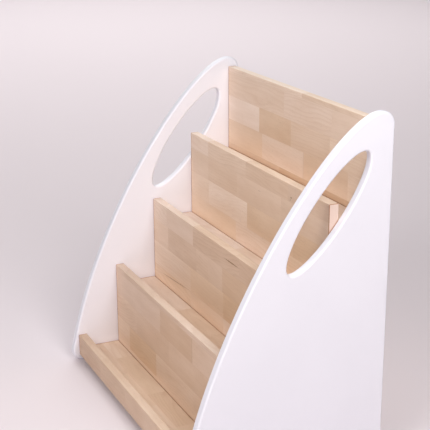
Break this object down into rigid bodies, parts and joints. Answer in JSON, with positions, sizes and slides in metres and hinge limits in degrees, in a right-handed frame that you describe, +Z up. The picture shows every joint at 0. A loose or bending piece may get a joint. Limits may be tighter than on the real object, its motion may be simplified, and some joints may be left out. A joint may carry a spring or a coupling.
{
  "type": "book display rack",
  "caption": "Low front-facing book rack: wooden pockets rise in steps between two white side panels with curved fronts and oval hand holes.",
  "frame": {"origin": "on the floor, in the middle of the footprint of the two side panels", "axes": "+Z up, +Y from the front lip to the back edge, +X to the right-hand side panel seen from the front"},
  "size_m": [0.636, 0.406, 0.653],
  "materials": {
    "white_lacquer": "satin white lacquer on board",
    "birch": "clear satin varnish on edge-glued birch staves",
    "beech_dowel": "bare turned beech",
    "steel": "zinc-plated",
    "zinc": "die-cast"
  },
  "bodies": {
    "root": {"side_panel_left": "white_lacquer", "side_panel_right": "white_lacquer", "front_lip": "birch", "shelf_1": "birch", "backboard_1": "birch", "shelf_2": "birch", "backboard_2": "birch", "shelf_3": "birch", "backboard_3": "birch", "shelf_4": "birch", "backboard_4": "birch", "dowel_front_lip_left": "beech_dowel", "dowel_backboard_1_left": "beech_dowel", "dowel_shelf_1_front_left": "beech_dowel", "dowel_shelf_1_back_left": "beech_dowel", "dowel_backboard_2_left": "beech_dowel", "dowel_shelf_2_front_left": "beech_dowel", "dowel_shelf_2_back_left": "beech_dowel", "dowel_backboard_3_left": "beech_dowel", "dowel_shelf_3_front_left": "beech_dowel", "dowel_shelf_3_back_left": "beech_dowel", "dowel_backboard_4_left": "beech_dowel", "dowel_shelf_4_front_left": "beech_dowel", "dowel_shelf_4_back_left": "beech_dowel", "cam_bolt_1_left": "steel", "cam_1_left": "zinc", "cam_bolt_2_left": "steel", "cam_2_left": "zinc", "cam_bolt_3_left": "steel", "cam_3_left": "zinc", "cam_bolt_4_left": "steel", "cam_4_left": "zinc", "dowel_front_lip_right": "beech_dowel", "dowel_backboard_1_right": "beech_dowel", "dowel_shelf_1_front_right": "beech_dowel", "dowel_shelf_1_back_right": "beech_dowel", "dowel_backboard_2_right": "beech_dowel", "dowel_shelf_2_front_right": "beech_dowel", "dowel_shelf_2_back_right": "beech_dowel", "dowel_backboard_3_right": "beech_dowel", "dowel_shelf_3_front_right": "beech_dowel", "dowel_shelf_3_back_right": "beech_dowel", "dowel_backboard_4_right": "beech_dowel", "dowel_shelf_4_front_right": "beech_dowel", "dowel_shelf_4_back_right": "beech_dowel", "cam_bolt_1_right": "steel", "cam_1_right": "zinc", "cam_bolt_2_right": "steel", "cam_2_right": "zinc", "cam_bolt_3_right": "steel", "cam_3_right": "zinc", "cam_bolt_4_right": "steel", "cam_4_right": "zinc"}
  },
  "joints": []
}
